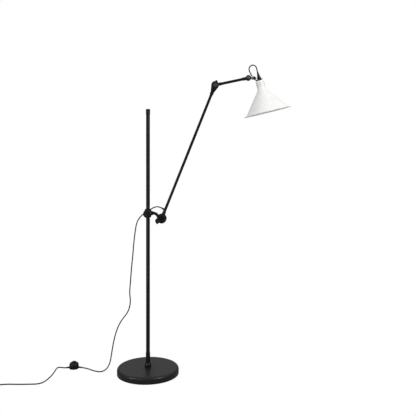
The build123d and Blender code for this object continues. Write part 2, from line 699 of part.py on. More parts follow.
def build_lead():
    turn = radians(SWITCH_HEADING)
    out = (cos(turn), sin(turn))
    reach = SWITCH_R + RELIEF_LENGTH - 1
    entry = (SWITCH_X - out[0] * reach, SWITCH_Y - out[1] * reach, CORD_Z)
    exit_point = (SWITCH_X + out[0] * reach, SWITCH_Y + out[1] * reach, CORD_Z)

    first = between(DROP_ROUTE[POLE_SPLIT], DROP_ROUTE[POLE_SPLIT + 1], 0.5)
    second = between(DROP_ROUTE[SIDE_SPLIT], DROP_ROUTE[SIDE_SPLIT + 1], 0.5)
    tube("cord_at_arm", DROP_ROUTE[:POLE_SPLIT + 1] + [first])
    tube("cord_at_pole", [first] + DROP_ROUTE[POLE_SPLIT + 1:SIDE_SPLIT + 1] + [second])
    tube("cord_drop", [second] + DROP_ROUTE[SIDE_SPLIT + 1:] + [entry])
    coil_side = (COIL_X + 14, COIL_Y - COIL_OUT_R + CORD_R + 0.5, CORD_Z)
    tube("cord_floor", [exit_point] + FLOOR_ROUTE + [coil_side])

    frame = Plane((SWITCH_X, SWITCH_Y, 0), x_dir=(out[0], out[1], 0), z_dir=(0, 0, 1))
    foot = rod(SWITCH_R, 0, SWITCH_BASE_H)
    foot = fillet(foot.edges().group_by(Axis.Z)[0], 1.0)
    well = rod(SWITCH_R - 2, 2, SWITCH_BASE_H + 1)
    write("switch_base", frame * (foot - well + rod(4, 1.5, SWITCH_BASE_H - 3)))

    lid = rod(SWITCH_R, SWITCH_BASE_H + SLIP_GAP, SWITCH_H)
    lid = fillet(lid.edges().group_by(Axis.Z)[-1], 9.0)
    inside = rod(SWITCH_R - 2, SWITCH_BASE_H - 1, SWITCH_H - 6)
    write("switch_cover", frame * (lid - inside - rod(BUTTON_R + 0.3, 0, SWITCH_H + 1)))

    button_low = SWITCH_H - 9
    button = rod(BUTTON_R, button_low, SWITCH_H + BUTTON_RISE)
    button = fillet(button.edges().group_by(Axis.Z)[-1], 2.0)
    button += rod(BUTTON_R + 2, button_low - 1.5, button_low + 2.5)
    write("switch_button", frame * (button - rod(2.6, 0, button_low + 2)))

    spring_low = SWITCH_BASE_H - 3 + SLIP_GAP
    write("switch_spring", frame * ring(5.4, 4.2, spring_low, button_low - 1.5 - SLIP_GAP))

    relief = Pos(0, 0, RELIEF_LENGTH / 2) * Cone(RELIEF_R, CORD_R + 0.1, RELIEF_LENGTH)
    sleeves = []
    for side in (1, -1):
        reach = (side * out[0], side * out[1])
        low = (SWITCH_X + reach[0] * (SWITCH_R - 1), SWITCH_Y + reach[1] * (SWITCH_R - 1), RELIEF_Z)
        fall = (reach[0] * RELIEF_LENGTH, reach[1] * RELIEF_LENGTH, CORD_Z - RELIEF_Z)
        sleeve = Plane(origin=low, z_dir=fall) * relief
        sleeves.append(sleeve - frame * rod(SWITCH_R + SLIP_GAP, -5, 60))
    write("switch_reliefs", Compound(children=sleeves))


def build_head_loop(start, end):
    """The lead's open loop over the head, from the stem's collar into the gland on the hub."""
    into = HEAD.from_local_coords((0, 0, FLANGE_T + HUB_H + HEAD_GLAND_H + 13))
    over = [tuple(HEAD_JOINT[i] + step[i] for i in range(3)) for step in HEAD_LOOP]
    tube("head_cord", [start, *over, (into.X, into.Y, into.Z), end])


def build_coil():
    low = CORD_Z - CORD_R
    coil = ring(COIL_OUT_R, COIL_IN_R, low, low + COIL_H)
    write("cord_coil", Pos(COIL_X, COIL_Y, 0) * coil)

    # A tie that lies under the turns as a thin tape, so that the coil stays on the floor
    room = FACE_GAP
    band = block(
        COIL_IN_R - room - TIE_T, COIL_OUT_R + room + TIE_T, -TIE_W / 2, TIE_W / 2,
        0.02, low + COIL_H + room + TIE_T)
    band -= block(
        COIL_IN_R - room, COIL_OUT_R + room, -TIE_W, TIE_W, low - 0.05, low + COIL_H + room)
    write("coil_tie", Pos(COIL_X, COIL_Y, 0) * Rot(0, 0, TIE_AT) * band)


def build_plug():
    """A flat two-pin plug on the floor beside the coil, its tapered sleeve towards the coil."""
    tail = [(COIL_X + x, COIL_Y + y, z) for x, y, z in TAIL_ROUTE]
    tube("cord_tail", tail)
    tip = tail[-1]
    high = PLUG_LIFT + PLUG_T
    frame = Plane(origin=(tip[0], tip[1], 0), x_dir=(1, 0, 0), z_dir=(0, 0, 1))
    outline = Polyline(
        (-5, PLUG_SLEEVE), (5, PLUG_SLEEVE), (PLUG_W / 2, PLUG_SLEEVE + 12),
        (PLUG_W / 2, PLUG_SLEEVE + PLUG_L), (-PLUG_W / 2, PLUG_SLEEVE + PLUG_L),
        (-PLUG_W / 2, PLUG_SLEEVE + 12), close=True,
    )
    body = Pos(0, 0, PLUG_LIFT) * extrude(make_face(outline), PLUG_T)
    body = fillet(body.edges().filter_by(Axis.Z), 2.5)
    body = fillet(body.faces().sort_by(Axis.Z)[-1].edges(), 2.0)
    face = Plane((0, 0, tip[2]), x_dir=(1, 0, 0), z_dir=(0, 1, 0))
    sleeve = Pos(0, 0, PLUG_SLEEVE / 2 + 2) * Cone(CORD_R + 0.5, 5.2, PLUG_SLEEVE + 4)
    body += face * sleeve - block(-9, 9, -1, 30, -9, 0.05)
    middle = (PLUG_LIFT + high) / 2
    pins = []
    for side in (-1, 1):
        at = Plane((side * PIN_SPACING / 2, PLUG_SLEEVE + PLUG_L, middle), x_dir=(1, 0, 0), z_dir=(0, 1, 0))
        pin = rod(PIN_R, -8, PIN_L)
        pins.append(at * fillet(pin.edges().group_by(Axis.Z)[-1], 1.2))
        body -= at * rod(PIN_R + SLIP_GAP, -8 - SLIP_GAP, 1)
    write("plug_body", frame * body)
    write("plug_pins", frame * Compound(children=pins))


build_base()
build_pole()
build_clamp()
build_bracket()
build_long_arm()
build_elbow()
build_short_arm()
build_head_joint()
GLAND_TOP = build_holder()
build_shade()
build_lamp()
write("shoulder_lever", lever(
    SHOULDER_X, SHOULDER_Z, SHOULDER_BACK, SHOULDER_BOLT_R, 9, 36, 26, 212))
write("elbow_lever", lever(ELBOW[0], ELBOW[2], ELBOW_BACK, ELBOW_BOLT_R, 8, 25, 11, 70))
build_lead()
COLLAR_TOP = STEM.from_local_coords((0, 0, STEM_COLLAR_AT + 2))
build_head_loop((COLLAR_TOP.X - 1, 0, HEAD_JOINT[2] + STEM_COLLAR_R + 1), GLAND_TOP)
build_coil()
build_plug()
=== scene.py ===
import bmesh
import bpy
from math import cos, pi, radians, sin
from mathutils import Matrix, Vector


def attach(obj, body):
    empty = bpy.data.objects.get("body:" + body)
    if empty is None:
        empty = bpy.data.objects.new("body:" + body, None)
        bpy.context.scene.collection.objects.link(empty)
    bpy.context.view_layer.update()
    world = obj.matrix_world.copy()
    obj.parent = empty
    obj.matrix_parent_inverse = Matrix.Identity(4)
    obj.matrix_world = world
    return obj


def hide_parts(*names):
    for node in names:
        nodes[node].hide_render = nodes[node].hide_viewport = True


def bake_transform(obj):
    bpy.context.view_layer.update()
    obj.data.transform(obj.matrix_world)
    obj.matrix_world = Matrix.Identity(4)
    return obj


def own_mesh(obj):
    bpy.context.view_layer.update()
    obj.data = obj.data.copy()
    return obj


# Adjustable arm floor lamp in satin black, with a white enamelled shade. Metres, +Z up.
# The joints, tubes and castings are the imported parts. Made here: the lead, the turned and
# knurled pieces, the glands and reliefs, the foot switch, the plug, the lamp, and all finishes.

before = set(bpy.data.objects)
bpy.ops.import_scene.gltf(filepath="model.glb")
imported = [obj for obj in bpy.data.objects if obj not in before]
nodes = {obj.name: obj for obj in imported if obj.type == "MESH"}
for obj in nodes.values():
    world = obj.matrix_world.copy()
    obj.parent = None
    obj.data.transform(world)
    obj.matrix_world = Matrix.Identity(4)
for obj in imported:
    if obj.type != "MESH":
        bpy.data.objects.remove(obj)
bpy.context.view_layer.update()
MM = 0.001


# ---------------------------------------------------------------- camera

EYE = (0.279, -2.874, 1.053)
LENS = 53.5
DROP_OF_VIEW = -0.147  # the frame is shifted down from the level line of sight

eye = bpy.data.cameras.new("eye")
eye.lens = LENS
eye.sensor_width = 36.0
eye.shift_y = DROP_OF_VIEW
eye_object = bpy.data.objects.new("eye", eye)
eye_object.location = EYE
eye_object.rotation_euler = (radians(90), 0, 0)
bpy.context.scene.collection.objects.link(eye_object)
bpy.context.scene.camera = eye_object


# ---------------------------------------------------------------- materials

def linear(colour):
    """A hex colour as linear light."""
    steps = [int(colour[i:i + 2], 16) / 255 for i in (1, 3, 5)]
    light = [s / 12.92 if s <= 0.04045 else ((s + 0.055) / 1.055) ** 2.4 for s in steps]
    return (*light, 1.0)


def add(tree, kind, sockets=None, **settings):
    """Adds a node with its settings; a socket's value is a number, a colour or a link."""
    made = tree.nodes.new(kind)
    for name, value in settings.items():
        setattr(made, name, value)
    for name, value in (sockets or {}).items():
        if isinstance(value, bpy.types.NodeSocket):
            tree.links.new(value, made.inputs[name])
        else:
            made.inputs[name].default_value = value
    return made


def start(name, **sockets):
    """A new material: its tree, its shader and the place on the piece."""
    material = bpy.data.materials.new(name)
    material.use_nodes = True
    tree = material.node_tree
    shader = tree.nodes["Principled BSDF"]
    for socket, value in sockets.items():
        shader.inputs[socket.replace("_", " ")].default_value = value
    place = add(tree, "ShaderNodeTexCoord").outputs["Object"]
    return material, tree, shader, place


def per_metre(size_mm):
    """A pattern's scale from the real size of one grain, in millimetres."""
    return 1 / (size_mm * MM)


def colours(tree, factor, dark, light, low=0.35, high=0.65):
    """A pattern as a blend of two near colours."""
    ramp = add(tree, "ShaderNodeValToRGB", {"Fac": factor})
    ramp.color_ramp.elements[0].position = low
    ramp.color_ramp.elements[0].color = linear(dark)
    ramp.color_ramp.elements[1].position = high
    ramp.color_ramp.elements[1].color = linear(light)
    return ramp.outputs["Color"]


def spread(tree, factor, low, high):
    """A pattern as roughness between low and high."""
    sockets = {"Value": factor, "To Min": low, "To Max": high}
    return add(tree, "ShaderNodeMapRange", sockets).outputs["Result"]


def grains(tree, place, size_mm, detail, **more):
    """A noise pattern whose grain has a real size."""
    sockets = {"Vector": place, "Scale": per_metre(size_mm), "Detail": detail, **more}
    return add(tree, "ShaderNodeTexNoise", sockets).outputs["Fac"]


def dress(tree, shader, colour, roughness=None, relief=None, strength=0.0, depth_mm=0.0):
    """Gives a shader its colour, and its roughness and relief where it has them."""
    tree.links.new(colour, shader.inputs["Base Color"])
    if roughness is not None:
        tree.links.new(roughness, shader.inputs["Roughness"])
    if relief is not None:
        sockets = {"Height": relief, "Strength": strength, "Distance": depth_mm * MM}
        bump = add(tree, "ShaderNodeBump", sockets)
        tree.links.new(bump.outputs["Normal"], shader.inputs["Normal"])


def powder_coat():
    """Satin black polyester powder coat on steel: fine orange peel, and a soft broad gloss."""
    made, tree, shader, place = start("satin_black_powder_coat", IOR=1.5, Specular_IOR_Level=0.2)
    peel = grains(tree, place, 1.6, 2.0)
    cloud = grains(tree, place, 60, 3.0)
    colour = colours(tree, cloud, "#070808", "#0d0e0e")
    dress(tree, shader, colour, spread(tree, cloud, 0.34, 0.42), peel, 0.04, 0.3)
    return made


def textured_coat():
    """The base's powder coat: a little lighter, with a grain drawn coarser than the real one."""
    made, tree, shader, place = start("fine_textured_powder_coat", IOR=1.5, Specular_IOR_Level=0.3)
    grain = add(tree, "ShaderNodeTexVoronoi", {"Vector": place, "Scale": per_metre(1.5)})
    cloud = grains(tree, place, 90, 4.0)
    colour = colours(tree, cloud, "#0c0c0e", "#121214")
    dress(tree, shader, colour, spread(tree, cloud, 0.34, 0.42), grain.outputs["Distance"], 0.1, 0.3)
    return made


def worn_black(name, dark, light, rough, metallic):
    """Blackened metal whose high places are rubbed a little lighter."""
    made, tree, shader, place = start(name, Metallic=metallic, Specular_IOR_Level=0.3)
    rub = grains(tree, place, 9, 6.0, Roughness=0.7)
    fine = grains(tree, place, 0.7, 2.0)
    roughness = spread(tree, rub, rough - 0.06, rough + 0.08)
    dress(tree, shader, colours(tree, rub, dark, light), roughness, fine, 0.1, 0.2)
    return made


def white_enamel():
    """White stove enamel on spun aluminium: even, slightly warm, with a faint orange peel."""
    made, tree, shader, place = start("white_stove_enamel", IOR=1.52, Roughness=0.38)
    shader.inputs["Coat Weight"].default_value = 0.15
    shader.inputs["Coat Roughness"].default_value = 0.25
    cloud = grains(tree, place, 70, 2.0)
    peel = grains(tree, place, 2.2, 2.0)
    colour = colours(tree, cloud, "#f1f1ef", "#f5f5f3")
    dress(tree, shader, colour, relief=peel, strength=0.03, depth_mm=0.1)
    return made


def plated(name, dark, light, rough):
    """Plated or turned metal: bright, with fine marks and a little haze."""
    made, tree, shader, place = start(name, Metallic=1.0)
    haze = grains(tree, place, 6, 5.0)
    marks = grains(tree, place, 0.5, 3.0)
    roughness = spread(tree, haze, rough - 0.05, rough + 0.1)
    dress(tree, shader, colours(tree, haze, dark, light), roughness, marks, 0.12, 0.1)
    return made


def cast_iron():
    """Raw grey iron casting: sand texture, dull, with rust-brown patches starting."""
    made, tree, shader, place = start("sand_cast_iron", Metallic=0.6)
    sand = grains(tree, place, 1.2, 8.0)
    patch = grains(tree, place, 25, 5.0)
    colour = colours(tree, patch, "#3a3836", "#4a423c", 0.45, 0.75)
    dress(tree, shader, colour, spread(tree, patch, 0.6, 0.85), sand, 0.5, 0.6)
    return made


def moulded(name, dark, light, rough, grain_mm, strength, ior=1.5):
    """Moulded plastic: an even colour with the spark-eroded texture of its mould."""
    made, tree, shader, place = start(name, IOR=ior, Specular_IOR_Level=0.2)
    grain = grains(tree, place, grain_mm, 3.0)
    cloud = grains(tree, place, 14, 3.0)
    roughness = spread(tree, cloud, rough - 0.05, rough + 0.06)
    dress(tree, shader, colours(tree, cloud, dark, light), roughness, grain, strength, 0.3)
    return made


def opal_glass():
    """Opal glass: milk-white all through, under a smooth clear skin."""
    made, tree, shader, place = start("opal_glass", IOR=1.5, Roughness=0.12)
    shader.inputs["Subsurface Weight"].default_value = 0.3
    shader.inputs["Subsurface Scale"].default_value = 0.004
    cloud = grains(tree, place, 30, 2.0)
    dress(tree, shader, colours(tree, cloud, "#efede6", "#f7f5ef"))
    return made


coat = powder_coat()
base_coat = textured_coat()
enamel = white_enamel()
iron = cast_iron()
black_casting = worn_black("worn_black_casting", "#0a0b0b", "#18191a", 0.3, 0.1)
black_steel = worn_black("black_oxide_steel", "#121213", "#232324", 0.34, 0.7)
satin_cap = worn_black("satin_steel_cap", "#484643", "#686560", 0.36, 0.8)
nickel = plated("polished_nickel", "#a59c8c", "#c6bfb2", 0.2)
dull_nickel = plated("dulled_nickel", "#6a655c", "#847d71", 0.3)
zinc = plated("bright_zinc_plate", "#9a9c9e", "#b9bbbd", 0.3)
turned_grey = plated("turned_grey_steel", "#8b8983", "#a8a59e", 0.36)
knurled = moulded("knurled_black_phenolic", "#0a0b0b", "#131415", 0.38, 1.4, 0.3)
abs_black = moulded("moulded_black_abs", "#090909", "#0e0e0f", 0.36, 0.9, 0.1)
pvc_moulded = moulded("moulded_black_pvc", "#090909", "#0e0e0e", 0.42, 1.1, 0.1)
sheath = moulded("black_pvc_sheath", "#070707", "#0b0b0c", 0.42, 5.0, 0.05)
phenolic = moulded("glossy_black_phenolic", "#101010", "#161616", 0.18, 3.0, 0.04, 1.6)
nylon = moulded("black_nylon", "#161616", "#1e1e1e", 0.45, 1.5, 0.1, 1.53)
foam = moulded("dense_black_foam", "#151515", "#222222", 0.9, 1.2, 0.8)
opal = opal_glass()

FINISHES = {
    base_coat: ["base_cover"],
    coat: ["pole_tube", "pole_sleeve", "base_collar", "long_arm_tube", "short_arm_tube", "shade_holder",
           "holder_hub", "clamp_body", "bracket_spacer"],
    black_casting: ["elbow_fork", "elbow_eye", "elbow_lever", "shoulder_eye", "shoulder_lever",
                    "head_fork", "shoulder_bracket"],
    black_steel: ["shoulder_bolt"],
    satin_cap: ["elbow_bolt"],
    iron: ["base_weight"],
    foam: ["base_pad"],
    zinc: ["base_nut", "base_washer", "pole_foot", "bracket_screw", "clamp_knob_stud", "nipple",
           "nipple_nut", "hub_screw", "lamp_cap"],
    nickel: ["stem_nut", "plug_pins"],
    dull_nickel: ["head_bolt"],
    turned_grey: ["stem_collar", "head_stem"],
    nylon: ["pole_bush"],
    enamel: ["shade"],
    abs_black: ["pole_cap", "switch_base"],
    sheath: ["coil_tie"],
}
for finish, names in FINISHES.items():
    for name in names:
        nodes[name].data.materials.clear()
        nodes[name].data.materials.append(finish)


# ---------------------------------------------------------------- making pieces

def finished(name, shape, material, body, stands_for=(), sharp=32):
    """A bmesh made into a named piece that rides on a body."""
    mesh = bpy.data.meshes.new(name)
    shape.to_mesh(mesh)
    shape.free()
    mesh.shade_smooth()
    mesh.set_sharp_from_angle(angle=radians(sharp))
    piece = bpy.data.objects.new(name, mesh)
    bpy.context.scene.collection.objects.link(piece)
    mesh.materials.append(material)
    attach(piece, body)
    if stands_for:
        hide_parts(*stands_for)
    return piece


def turned(outline, steps=48):
    """A shape turned on the lathe about Z, from (radius, height) corners in millimetres."""
    shape = bmesh.new()
    points = [shape.verts.new((r * MM, 0, z * MM)) for r, z in outline]
    edges = [shape.edges.new(pair) for pair in zip(points, points[1:])]
    bmesh.ops.spin(
        shape, geom=points + edges, axis=(0, 0, 1), cent=(0, 0, 0), angle=2 * pi,
        steps=steps, use_merge=True)
    bmesh.ops.remove_doubles(shape, verts=shape.verts, dist=1e-6)
    bmesh.ops.recalc_face_normals(shape, faces=shape.faces)
    return shape


def put(shape, point, direction=(0, 0, 1)):
    """Moves a shape made about Z so that it stands on a point, along a direction."""
    turn = Vector(direction).to_track_quat("Z", "Y").to_matrix().to_4x4()
    bmesh.ops.transform(shape, matrix=Matrix.Translation(point) @ turn, verts=shape.verts)
    return shape


def rounded(shape, edges, radius, segments):
    """Rounds edges by a radius in millimetres."""
    bmesh.ops.bevel(
        shape, geom=edges, offset=radius * MM, segments=segments, profile=0.5, affect="EDGES",
        material=-1)


def join(shape, other):
    """Adds another bmesh to a shape."""
    mesh = bpy.data.meshes.new("joined")
    other.to_mesh(mesh)
    other.free()
    shape.from_mesh(mesh)
    bpy.data.meshes.remove(mesh)
    return shape


def knurl(shape, inner, depth, low, high):
    """Presses every second line of a rim inwards, by depth, between two heights."""
    lines = {}
    for v in shape.verts:
        away = Vector((v.co.x, v.co.y)).length
        if away > inner and low < v.co.z < high:
            angle = Vector((v.co.x, v.co.y)).angle_signed(Vector((1, 0)))
            lines.setdefault(round(angle, 3), []).append(v)
    for angle in sorted(lines)[1::2]:
        bmesh.ops.scale(shape, vec=(1 - depth, 1 - depth, 1), verts=lines[angle])


# ---------------------------------------------------------------- lead

CORD_R = 2.75
CORD_Z = 2.9  # the cord's middle where it lies on the floor
ARM_TIP = (64.985, 0, 767.95)

DROP_ROUTE = [
    ARM_TIP, (49, 3, 775.5), (29, 10, 772), (11, 17.5, 761), (-9, 24, 748), (-28, 21, 736),
    (-44, 12, 718), (-54, 6, 697), (-59, 3, 666), (-65, 1, 619), (-70, -1, 554), (-77, 0, 487),
    (-82, 2, 419), (-86, 0, 375), (-80, -2, 331), (-91, -3, 286), (-128, -2, 242), (-151, 1, 187),
    (-164, 0, 126), (-171, 1, 79), (-178, 3, 44), (-194, 7, 16), (-218, 11, CORD_Z),
    (-242, 16, CORD_Z), (-269, 34, CORD_Z), (-292, 56, CORD_Z), (-321.05, 67.94, CORD_Z),
]
AT_POLE = (1, 20.75, 754.5)
BESIDE_POLE = (-56.5, 4.5, 681.5)

SWITCH_EXIT = (-394.95, 64.06, CORD_Z)
FLOOR_ROUTE = [
    SWITCH_EXIT, (-412, 65, CORD_Z), (-431, 73, CORD_Z), (-438.5, 60, CORD_Z), (-438, 40, CORD_Z),
    (-437.5, -15, CORD_Z), (-443, -69, CORD_Z), (-453, -116, CORD_Z), (-474.5, -137, CORD_Z),
    (-510, -139, CORD_Z), (-563, -141, CORD_Z), (-610, -138, CORD_Z), (-653, -147, CORD_Z),
    (-680, -153.5, CORD_Z),
]
COIL = (-700, -121)
COIL_INNER, COIL_OUTER, TURN_PITCH = 27.3, 33.1, 5.75
COIL_END = 5 * 360 + 80  # degrees wound
FIRST_MOVE, MOVE, STEP = 292, 36, 12  # degrees: where the first move starts, its width, and a step
TAIL_ROUTE = [(-33, 9, 13.5), (-34, 22, 10.5), (-34, 34, 8.2)]
HEAD_ROUTE = [
    (483.1, 0, 1382.7), (473, -1, 1399), (468.8, -2, 1415), (473.5, -3, 1426.5), (483.8, -4, 1433),
    (495.5, -3, 1431.4), (504, -1.5, 1422.6), (506.6, 0, 1410.5), (509.9, 0, 1398),
]


def metres(point):
    return tuple(c * MM for c in point)


def route(name, points, thick=0.0):
    """A cord's smooth line: a NURBS spline whose control points are a route in millimetres."""
    line = bpy.data.curves.new(name, "CURVE")
    line.dimensions = "3D"
    line.resolution_u = 6
    line.bevel_depth = thick
    line.bevel_resolution = 3
    line.use_fill_caps = thick > 0
    spline = line.splines.new("NURBS")
    spline.points.add(len(points) - 1)
    for spot, point in zip(spline.points, points):
        spot.co = (*metres(point), 1.0)
    spline.order_u = 3
    spline.use_endpoint_u = True
    made = bpy.data.objects.new(name, line)
    bpy.context.scene.collection.objects.link(made)
    return made


def followed(points):
    """The points along a route's NURBS spline, in metres."""
    made = route("line", points)
    mesh = bpy.data.meshes.new_from_object(made)
    line = [v.co.copy() for v in mesh.vertices]
    bpy.data.meshes.remove(mesh)
    bpy.data.objects.remove(made)
    return line


def nearest(line, point):
    return min(range(len(line)), key=lambda i: (line[i] - Vector(metres(point))).length)


def sleeve(name, line, material, stands_for, radius=CORD_R):
    """A round tube as a mesh along a line."""
    curve = bpy.data.curves.new(name, "CURVE")
    curve.dimensions = "3D"
    curve.bevel_depth = radius * MM
    curve.bevel_resolution = 3
    curve.use_fill_caps = True
    spline = curve.splines.new("POLY")
    spline.points.add(len(line) - 1)
    for spot, point in zip(spline.points, line):
        spot.co = (*point, 1.0)
    holder = bpy.data.objects.new("holder", curve)
    mesh = bpy.data.meshes.new_from_object(holder)
    bpy.data.objects.remove(holder)
    mesh.name = name
    mesh.shade_smooth()
    mesh.materials.clear()
    mesh.materials.append(material)
    piece = bpy.data.objects.new(name, mesh)
    bpy.context.scene.collection.objects.link(piece)
    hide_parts(stands_for)
    return piece


def coil_points():
    """The coil's turns: two columns of three, each turn moving on a little earlier than the last."""
    low, mid, top = CORD_Z, CORD_Z + TURN_PITCH, CORD_Z + 2 * TURN_PITCH
    places = [(COIL_OUTER, low), (COIL_INNER, low), (COIL_INNER, mid), (COIL_OUTER, mid),
              (COIL_INNER, top), (COIL_OUTER, top)]
    points = []
    for turn in range(0, COIL_END, STEP):
        number, share = 0, 0.0
        for move in range(len(places) - 1):
            begun = FIRST_MOVE + move * (360 - MOVE)
            if turn >= begun + MOVE:
                number, share = move + 1, 0.0
            elif turn >= begun:
                number, share = move, (turn - begun) / MOVE
        here, there = places[number], places[min(number + 1, len(places) - 1)]
        if number == 3:  # up and over the turn below, in a quarter circle
            around = share * pi / 2
            radius = COIL_INNER + (COIL_OUTER - COIL_INNER) * cos(around)
            height = mid + TURN_PITCH * sin(around)
        else:
            radius = here[0] + (there[0] - here[0]) * share
            height = here[1] + (there[1] - here[1]) * share
        angle = radians(-90 - turn)
        points.append((COIL[0] + radius * cos(angle), COIL[1] + radius * sin(angle), height))
    return points


drop = followed(DROP_ROUTE)
cut_a = nearest(drop, AT_POLE)
cut_b = nearest(drop, BESIDE_POLE)
arm_line = drop[:cut_a + 1]
pole_line = drop[cut_a:cut_b + 1]
hang_line = drop[cut_b:]

arm_cord = sleeve("cord_arm_stretch", arm_line, sheath, "cord_at_arm")
pole_cord = sleeve("cord_pole_stretch", pole_line, sheath, "cord_at_pole")
hang_cord = sleeve("cord_hanging_stretch", hang_line, sheath, "cord_drop")
head_line = followed(HEAD_ROUTE)
head_cord = sleeve("cord_head_loop", head_line, sheath, "head_cord")

tail = [(COIL[0] + x, COIL[1] + y, z) for x, y, z in TAIL_ROUTE]
floor_points = FLOOR_ROUTE + coil_points() + tail
floor_line = followed(floor_points)
floor_cord = route("cord_floor_and_coil", floor_points, CORD_R * MM)
floor_cord.data.materials.append(sheath)
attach(floor_cord, "stand")
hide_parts("cord_floor", "cord_coil", "cord_tail")


def held(cord):
    """Bakes a cord's placement into its mesh."""
    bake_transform(cord)


held(arm_cord)
held(pole_cord)
held(hang_cord)
held(head_cord)


# ---------------------------------------------------------------- turned and knurled pieces

CLAMP_Z = 745
HEAD_LEAN = radians(-13.8)
UP_SHADE = Vector((sin(HEAD_LEAN), 0, cos(HEAD_LEAN)))
NECK_TOP = Vector(metres((519.2, 0, 1360.25)))
HEAD_JOINT = metres((466.62, 0, 1373.08))
ARM_GLAND_ROOT = metres((79.71, 0, 759.28))
ARM_GLAND_LEAN = radians(149.5)
CLAMP_FACE = -24  # where the knob meets the clamp, and the thumb nut its joint
THUMB_NUT_FACE = 11.4
BRIM_R, BRIM_HEIGHT, BEAD_R = 110, -150.1, 1.0


def on_shade(height):
    """A point on the shade's axis, millimetres above the top of its neck."""
    return NECK_TOP + UP_SHADE * height * MM


def clamp_knob():
    """Round moulded knob: a milled rim, a rolled edge and a low crown inside a shallow ring."""
    shape = turned([
        (4, 0.2), (12, 0.2), (13, 0), (17.6, 0), (19.3, 1.8), (19.4, 13.6), (18.3, 16.2), (16.2, 18.0),
        (14.6, 18.5), (14.0, 17.9), (13.2, 17.8), (12.4, 18.4), (8, 19.1), (0, 19.4)], steps=96)
    knurl(shape, 18.8 * MM, 0.045, 1.5 * MM, 14 * MM)
    put(shape, metres((0, CLAMP_FACE, CLAMP_Z)), (0, -1, 0))
    return finished("clamp_knob_milled", shape, knurled, "clamp_knob", ["clamp_knob"], 25)


def thumb_nut():
    """Knurled thumb nut behind the head joint, with a stepped neck and a recessed face."""
    shape = turned([
        (3.1, 0), (7.2, 0), (7.6, 0.6), (7.6, 1.6), (8.4, 2.3), (8.5, 7.4), (7.7, 8.5), (6.4, 8.7),
        (6, 8.1), (0, 8.1)], steps=72)
    knurl(shape, 8.2 * MM, 0.07, 2 * MM, 8 * MM)
    put(shape, (HEAD_JOINT[0], THUMB_NUT_FACE * MM, HEAD_JOINT[2]), (0, 1, 0))
    return finished(
        "head_thumb_nut_knurled", shape, black_steel, "head_thumb_nut", ["head_thumb_nut"], 25)


def ribbed_sleeve(base, low, base_r, high, tip_r, ribs):
    """A tapered strain relief: a hexagon at its root, then soft ribs that get smaller to the tip."""
    hexagon = turned([
        (0, low), (base_r * 1.08, low), (base_r * 1.15, low + 0.6), (base_r * 1.15, base - 0.5),
        (base_r * 1.05, base), (0, base)], steps=6)
    pitch = (high - base) / (ribs + 0.5)
    outline = [(base_r * 0.9, base - 0.5)]
    for rib in range(ribs):
        radius = base_r + (tip_r - base_r) * (rib + 0.5) / ribs
        at = base + rib * pitch
        outline += [(radius * 0.86, at + pitch * 0.1), (radius, at + pitch * 0.35),
                    (radius, at + pitch * 0.75), (radius * 0.86, at + pitch)]
    outline += [(tip_r, high - 0.5), (tip_r - 0.35, high), (CORD_R - 0.2, high)]
    return join(hexagon, turned(outline, steps=32))


def arm_gland():
    out = (cos(ARM_GLAND_LEAN), 0, sin(ARM_GLAND_LEAN))
    shape = put(ribbed_sleeve(9.2, 5.2, 4.9, 19.4, 3.2, 3), ARM_GLAND_ROOT, out)
    return finished("arm_gland_ribbed", shape, abs_black, "long_arm", ["arm_gland"])


def head_gland():
    shape = put(ribbed_sleeve(25, 18, 6.4, 44, 3.2, 4), on_shade(0), UP_SHADE)
    return finished("head_gland_ribbed", shape, abs_black, "head", ["head_gland"])


def shade_bead():
    """The wired edge rolled round the brim."""
    bead = []
    for k in range(13):
        angle = radians(30 * k)
        bead.append((BRIM_R + BEAD_R * cos(angle), BRIM_HEIGHT + BEAD_R * sin(angle)))
    shape = put(turned(bead, steps=128), on_shade(0), UP_SHADE)
    return finished("shade_rolled_edge", shape, enamel, "head")


def lampholder():
    """Phenolic lampholder with a threaded skirt and two rings."""
    shape = turned([
        (5.2, -5.8), (11, -5.9), (13.3, -7.4), (14, -10), (14, -19.5), (13.2, -20.1), (13.2, -21.3),
        (14, -22), (14, -33), (13.4, -33.7), (14, -34.4), (13.4, -35.1), (14, -35.8), (14, -50.8),
        (13.4, -51.7), (8.1, -51.7), (7.6, -51.1), (7.6, -26.2), (5.2, -24), (5.2, -5.8)], steps=64)
    put(shape, on_shade(0), UP_SHADE)
    return finished("lampholder_turned", shape, phenolic, "head", ["lampholder"])


def lamp():
    """Opal globe lamp: a ball that flows into its neck."""
    ball_at, ball_r = -92, 22.5
    outline = [(6.6, -52.6), (7.4, -54), (7.9, -57), (8.9, -60.5), (10.6, -64.5), (12.9, -69),
               (15.0, -73.2)]
    for k in range(16):
        angle = radians(52 + k * 128 / 15)
        outline.append((ball_r * sin(angle), ball_at + ball_r * cos(angle)))
    outline[-1] = (0, ball_at - ball_r)
    shape = put(turned(outline, steps=64), on_shade(0), UP_SHADE)
    return finished("lamp_globe", shape, opal, "head", ["lamp_glass"], 60)


for make in (clamp_knob, thumb_nut, arm_gland, head_gland, shade_bead, lampholder, lamp):
    make()


# ---------------------------------------------------------------- foot switch and plug

